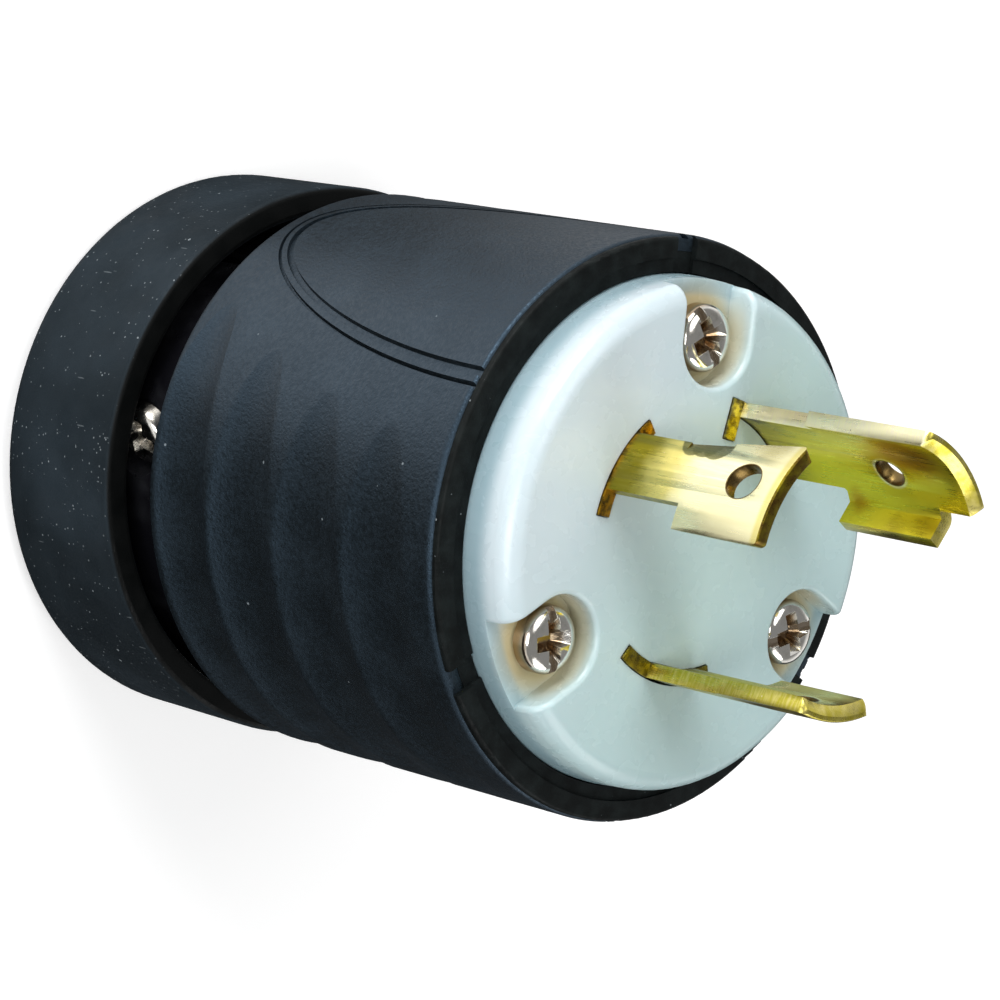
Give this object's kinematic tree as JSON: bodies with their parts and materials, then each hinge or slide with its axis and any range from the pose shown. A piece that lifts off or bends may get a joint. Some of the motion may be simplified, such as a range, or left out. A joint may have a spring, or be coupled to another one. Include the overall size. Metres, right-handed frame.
{
  "type": "locking power plug",
  "caption": "Round locking power plug with curved brass blades on a white face, a ribbed black body, a cord clamp and a rear rubber boot.",
  "frame": {"origin": "centre of the boot's rear face, on the surface that the plug stands on", "axes": "+Z along the plug's axis from the boot to the blades; -Y through the first assembly screw; the blade of the ground wire is on the -X -Y side"},
  "size_m": [0.0594, 0.0594, 0.098],
  "materials": {
    "body_nylon": "satin, finely grained black nylon",
    "ring_rubber": "matte",
    "boot_rubber": "matte, dusty",
    "face_nylon": "glossy, slightly translucent",
    "inner_nylon": "plain moulded",
    "jaw_plastic": "glossy",
    "blade_brass": "bare brass, lightly tarnished",
    "terminal_brass": "bare brass",
    "ground_screw_green": "green dyed",
    "screw_nickel": "nickel plated",
    "nut_steel": "zinc plated"
  },
  "bodies": {
    "root": {"body_shell": "body_nylon", "front_ring": "ring_rubber", "face": "face_nylon", "terminal_carrier": "inner_nylon", "terminal_cover": "inner_nylon", "blade_line": "blade_brass", "blade_neutral": "blade_brass", "blade_ground": "blade_brass", "terminal_screw_line": "terminal_brass", "terminal_screw_neutral": "screw_nickel", "terminal_screw_ground": "ground_screw_green", "pressure_plate_line": "terminal_brass", "pressure_plate_neutral": "terminal_brass", "pressure_plate_ground": "terminal_brass", "assembly_screw_1": "screw_nickel", "assembly_screw_2": "screw_nickel", "assembly_screw_3": "screw_nickel", "clamp_jaw_front": "jaw_plastic", "clamp_jaw_back": "jaw_plastic", "clamp_screw_left": "screw_nickel", "clamp_screw_right": "screw_nickel", "clamp_nut_left": "nut_steel", "clamp_nut_right": "nut_steel", "rear_boot": "boot_rubber"}
  },
  "joints": []
}
